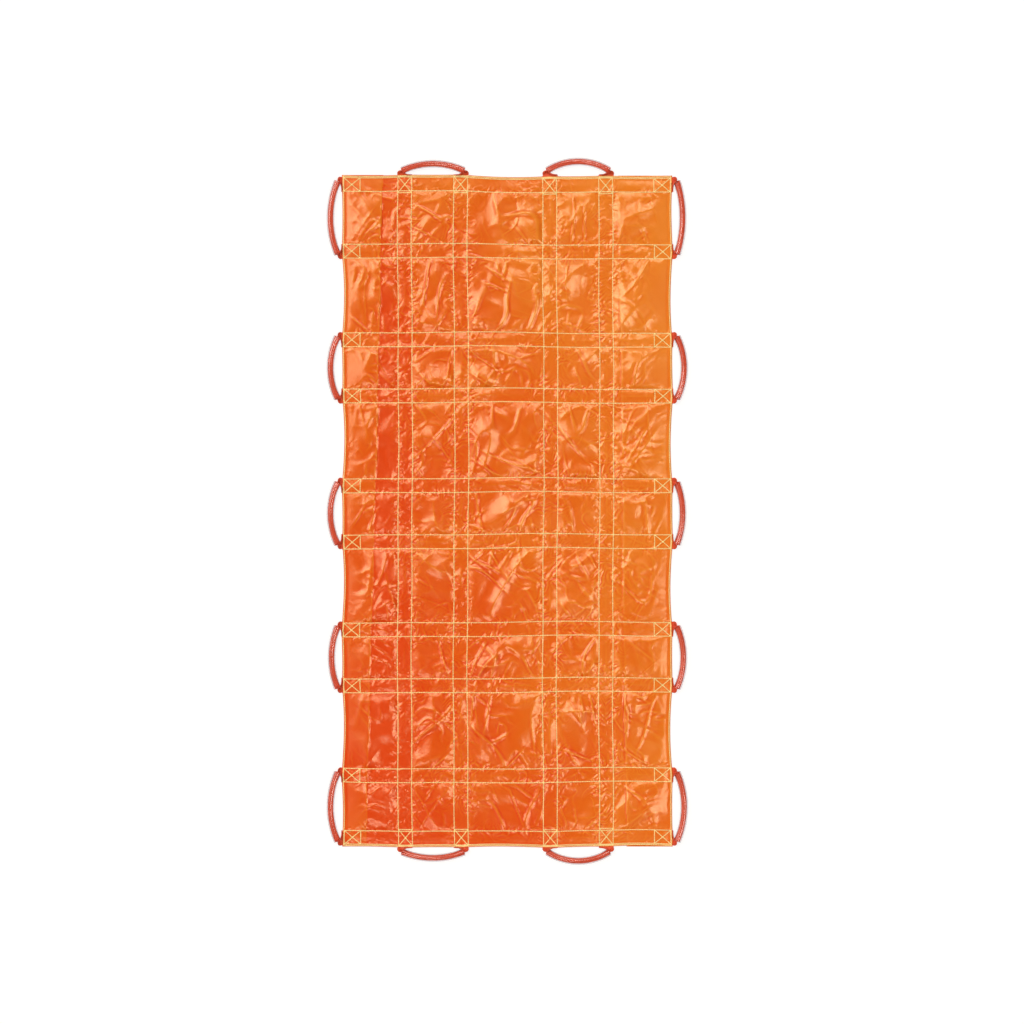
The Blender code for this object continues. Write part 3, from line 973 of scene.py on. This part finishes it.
def add_handle(side_name, number, spacing, level, edge, outward, materials):
    """The tube and the webbing of one handle, at this place on the sheet's edge."""
    web, clear = materials
    up = Vector((0, 0, 1))
    out = Vector((*outward, 0))
    origin = Vector((*edge, 0))
    turn = Matrix([list(row) for row in zip(out, up.cross(out), up)])
    place = Matrix.Translation(origin) @ turn.to_4x4()
    body = f"{side_name}_handle_{number}"
    bow = spacing, GRIP_MID_REACHES[side_name][number - 1]
    add_grip(f"{side_name}_grip_{number}", body, bow, place, clear)
    add_loop(f"{side_name}_loop_{number}", bow, level, place, web)


def belt_pairs(runs):
    """The middle and the spacing of each pair of runs that handles join."""
    return [((first + second) / 2, abs(first - second)) for first, second in zip(runs[::2], runs[1::2])]


def add_handles(materials):
    """The handles of the sides, numbered from the head, and of the ends, from the left."""
    for number, (middle, spacing) in enumerate(belt_pairs(CROSS_RUNS), 1):
        for side_name, side in (("left", -1), ("right", 1)):
            edge = (side * HALF_WIDTH, middle)
            add_handle(side_name, number, spacing, 0.0, edge, (side, 0), materials)
    for number, (middle, spacing) in enumerate(belt_pairs(LONG_RUNS), 1):
        for side_name, side in (("head", 1), ("foot", -1)):
            edge = (middle, side * HALF_LENGTH)
            add_handle(side_name, number, spacing, LONG_BELT_LEVEL, edge, (0, side), materials)


# Nodes


def new_material(name):
    material = bpy.data.materials.new(name)
    material.use_nodes = True
    tree = material.node_tree
    return material, tree, tree.nodes["Principled BSDF"]


def set_inputs(node, values):
    for name, value in values.items():
        node.inputs[name].default_value = value


def add_node(tree, kind, values):
    """A node with these input values."""
    node = tree.nodes.new(kind)
    set_inputs(node, values)
    return node


def linked(tree, value, node, entry, result):
    """Joins a value to a node's input and gives back one of its outputs."""
    tree.links.new(value, node.inputs[entry])
    return node.outputs[result]


def combined(tree, operation, first, second):
    """Arithmetic on two values, each an output or a number."""
    node = tree.nodes.new("ShaderNodeMath")
    node.operation = operation
    for socket, value in enumerate((first, second)):
        if isinstance(value, float):
            node.inputs[socket].default_value = value
        else:
            tree.links.new(value, node.inputs[socket])
    return node.outputs[0]


def object_place(tree):
    return tree.nodes.new("ShaderNodeTexCoord").outputs["Object"]


def painted(tree, name):
    """Values stored at the mesh's points."""
    node = tree.nodes.new("ShaderNodeAttribute")
    node.attribute_name = name
    return node.outputs["Fac"]


def even_noise(tree, place, density, detail):
    """Rounded noise with this many features to the metre."""
    values = {"Scale": density, "Detail": detail, "Distortion": 0.6}
    node = add_node(tree, "ShaderNodeTexNoise", values)
    return linked(tree, place, node, "Vector", "Fac")


def creased_noise(tree, place, density):
    """Noise with sharp crests that wander."""
    values = {"Scale": density, "Detail": 1.0, "Roughness": 0.4, "Distortion": 0.8}
    node = add_node(tree, "ShaderNodeTexNoise", values)
    node.noise_type = "RIDGED_MULTIFRACTAL"
    node.normalize = True
    return linked(tree, place, node, "Vector", "Fac")


def ramp(tree, factor, *stops):
    """A colour ramp with a stop at each (position, colour)."""
    node = tree.nodes.new("ShaderNodeValToRGB")
    elements = node.color_ramp.elements
    while len(elements) < len(stops):
        elements.new(1.0)
    for element, (position, colour) in zip(elements, stops):
        element.position = position
        element.color = (*colour, 1)
    return linked(tree, factor, node, "Fac", "Color")


def stacked_bump(tree, layers):
    """Bumps from (height, strength, distance) layers, one on top of the other."""
    normal = None
    for height, strength, distance in layers:
        bump = add_node(tree, "ShaderNodeBump", {"Strength": strength, "Distance": distance})
        tree.links.new(height, bump.inputs["Height"])
        if normal:
            tree.links.new(normal, bump.inputs["Normal"])
        normal = bump.outputs["Normal"]
    return normal


def mixed_surface(tree, share, shader, other):
    """Shows the shader where share is 0 and the other one where it is 1."""
    mix = tree.nodes.new("ShaderNodeMixShader")
    tree.links.new(share, mix.inputs["Fac"])
    tree.links.new(shader.outputs[0], mix.inputs[1])
    tree.links.new(other.outputs[0], mix.inputs[2])
    tree.links.new(mix.outputs[0], tree.nodes["Material Output"].inputs["Surface"])


# Materials


def vinyl_finish(tree, shader, place):
    """A glossy coat with faint smudges, over a sheen of the cloth's own colour."""
    smudges = even_noise(tree, place, density=14, detail=4.0)
    rough = add_node(tree, "ShaderNodeMapRange", {"To Min": 0.16, "To Max": 0.32})
    tree.links.new(linked(tree, smudges, rough, "Value", "Result"), shader.inputs["Roughness"])
    set_inputs(shader, {"IOR": 1.5, "Specular IOR Level": 1.0, "Specular Tint": VINYL_SHEEN})
    set_inputs(shader, {"Coat Weight": 0.4, "Coat Roughness": 0.07})


def vinyl_relief(tree, shader, place):
    """Fine creases in patches, curls at the stitches and the cloth's grain."""
    spread = add_node(tree, "ShaderNodeMapRange", {"From Min": 0.35, "From Max": 0.65, "To Min": 0.15})
    clouds = even_noise(tree, place, density=8, detail=1.0)
    amount = linked(tree, clouds, spread, "Value", "Result")
    long_creases = combined(tree, "MULTIPLY", creased_noise(tree, place, density=13.0), amount)
    short_creases = combined(tree, "MULTIPLY", creased_noise(tree, place, density=42.0), amount)
    grain = even_noise(tree, place, density=700, detail=1.0)
    curls = combined(tree, "MULTIPLY", creased_noise(tree, place, density=55.0), painted(tree, "curls"))
    layers = (
        (long_creases, 1.0, LONG_CREASE_DEPTH),
        (short_creases, 1.0, SHORT_CREASE_DEPTH),
        (curls, 1.0, CURL_DEPTH),
        (grain, GRAIN_STRENGTH, GRAIN_DEPTH),
    )
    normal = stacked_bump(tree, layers)
    tree.links.new(normal, shader.inputs["Normal"])
    tree.links.new(normal, shader.inputs["Coat Normal"])


def vinyl_material():
    """Glossy coated cloth, toned by what is stored on it, which holds painted light and shade."""
    material, tree, shader = new_material("vinyl")
    place = object_place(tree)
    stops = (0.1, VINYL_DEEP), (0.5, VINYL_MIDDLE), (0.95, VINYL_PALE)
    tree.links.new(ramp(tree, painted(tree, "tone"), *stops), shader.inputs["Base Color"])
    vinyl_finish(tree, shader, place)
    vinyl_relief(tree, shader, place)
    return material


def webbing_material():
    """Woven webbing with slanting ribs."""
    material, tree, shader = new_material("webbing")
    ribs = add_node(tree, "ShaderNodeTexWave", {"Scale": 160.0, "Distortion": 0.6})
    ribs.wave_type = "BANDS"
    ribs.bands_direction = "DIAGONAL"
    height = linked(tree, object_place(tree), ribs, "Vector", "Fac")
    colour = ramp(tree, height, (0.0, WEB_DEEP), (1.0, WEB_PALE))
    tree.links.new(colour, shader.inputs["Base Color"])
    set_inputs(shader, {"Roughness": 0.62, "Sheen Weight": 0.1})
    tree.links.new(stacked_bump(tree, [(height, 0.5, 0.0004)]), shader.inputs["Normal"])
    return material


def thread_material():
    """Pale thread, flecked by its twist."""
    material, tree, shader = new_material("thread")
    twist = add_node(tree, "ShaderNodeTexNoise", {"Scale": 900.0, "Detail": 1.0})
    flecks = linked(tree, object_place(tree), twist, "Vector", "Fac")
    colour = ramp(tree, flecks, (0.2, THREAD_DEEP), (0.8, THREAD_PALE))
    tree.links.new(colour, shader.inputs["Base Color"])
    set_inputs(shader, {"Roughness": 0.65})
    return material


def clear_material():
    """Clear vinyl that lets light through to the webbing in it."""
    material, tree, shader = new_material("clear_tube")
    rim = add_node(tree, "ShaderNodeLayerWeight", {"Blend": 0.5})
    tint = ramp(tree, rim.outputs["Facing"], (0.22, TUBE_CLEAR), (0.48, TUBE_RIM))
    tree.links.new(tint, shader.inputs["Base Color"])
    set_inputs(shader, {"Roughness": 0.06, "IOR": 1.5, "Transmission Weight": 1.0})
    wobble = even_noise(tree, object_place(tree), density=60, detail=1.0)
    tree.links.new(stacked_bump(tree, [(wobble, 0.15, 0.001)]), shader.inputs["Normal"])
    rays = tree.nodes.new("ShaderNodeLightPath").outputs
    through = add_node(tree, "ShaderNodeBsdfTransparent", {"Color": (*TUBE_CLEAR, 1)})
    lit = combined(tree, "MAXIMUM", rays["Is Shadow Ray"], rays["Is Diffuse Ray"])
    mixed_surface(tree, lit, shader, through)
    return material


def floor_material():
    """A pale floor that shows white to the camera and in reflections, and keeps its shadows."""
    material, tree, shader = new_material("floor")
    set_inputs(shader, {"Base Color": FLOOR_COLOUR, "Roughness": 0.9, "Specular IOR Level": 0.0})
    rays = tree.nodes.new("ShaderNodeLightPath").outputs
    glow = add_node(tree, "ShaderNodeEmission", {"Strength": GLOW_STRENGTH})
    seen = combined(tree, "MAXIMUM", rays["Is Camera Ray"], rays["Is Glossy Ray"])
    seen = combined(tree, "MAXIMUM", seen, rays["Is Transmission Ray"])
    mixed_surface(tree, combined(tree, "MULTIPLY", seen, GLOW_SHARE), shader, glow)
    return material


# Stage


def add_stage():
    """The floor that the sheet lies on."""
    half, level = FLOOR_HALF, FLOOR_LEVEL
    corners = [(-half, -half, level), (half, -half, level), (half, half, level), (-half, half, level)]
    new_object("floor", corners, [(0, 1, 2, 3)], floor_material())


def add_light(tree, direction, aim, inner, outer, strength):
    """A soft-edged bright disc in the sky, from full inside one angle to nothing at the other."""
    facing = tree.nodes.new("ShaderNodeVectorMath")
    facing.operation = "DOT_PRODUCT"
    tree.links.new(direction, facing.inputs[0])
    facing.inputs[1].default_value = Vector(aim).normalized()
    faded, full = (math.cos(math.radians(angle)) for angle in (outer, inner))
    values = {"From Min": faded, "From Max": full, "To Max": strength}
    lobe = add_node(tree, "ShaderNodeMapRange", values)
    lobe.interpolation_type = "SMOOTHSTEP"
    return linked(tree, facing.outputs["Value"], lobe, "Value", "Result")


def add_lights():
    """A pale room, darker straight above, with large soft lamps round the camera."""
    world = bpy.data.worlds.new("studio")
    world.use_nodes = True
    tree = world.node_tree
    direction = tree.nodes.new("ShaderNodeTexCoord").outputs["Generated"]
    total = ROOM_LEVEL
    for light in SOFT_LIGHTS:
        total = combined(tree, "ADD", total, add_light(tree, direction, *light))
    tree.links.new(total, tree.nodes["Background"].inputs["Strength"])
    set_inputs(tree.nodes["Background"], {"Color": LAMP_COLOUR})
    bpy.context.scene.world = world


def add_camera():
    """The photo's view, straight down."""
    camera = bpy.data.cameras.new("camera")
    camera.sensor_width = SENSOR_WIDTH
    camera.lens = SENSOR_WIDTH * CAMERA_HEIGHT / (PHOTO_WIDTH * PIXEL)
    seen_from = bpy.data.objects.new("camera", camera)
    right, up = PICTURE_MIDDLE
    seen_from.location = (right * PIXEL, up * PIXEL, CAMERA_HEIGHT)
    bpy.context.scene.collection.objects.link(seen_from)
    bpy.context.scene.camera = seen_from


def main():
    add_camera()
    add_lights()
    add_stage()
    bpy.context.scene.view_settings.view_transform = "Standard"
    web = webbing_material()
    face = Face()
    add_sheet(face, vinyl_material())
    add_seams(face, thread_material())
    add_runs(web)
    add_handles((web, clear_material()))


main()
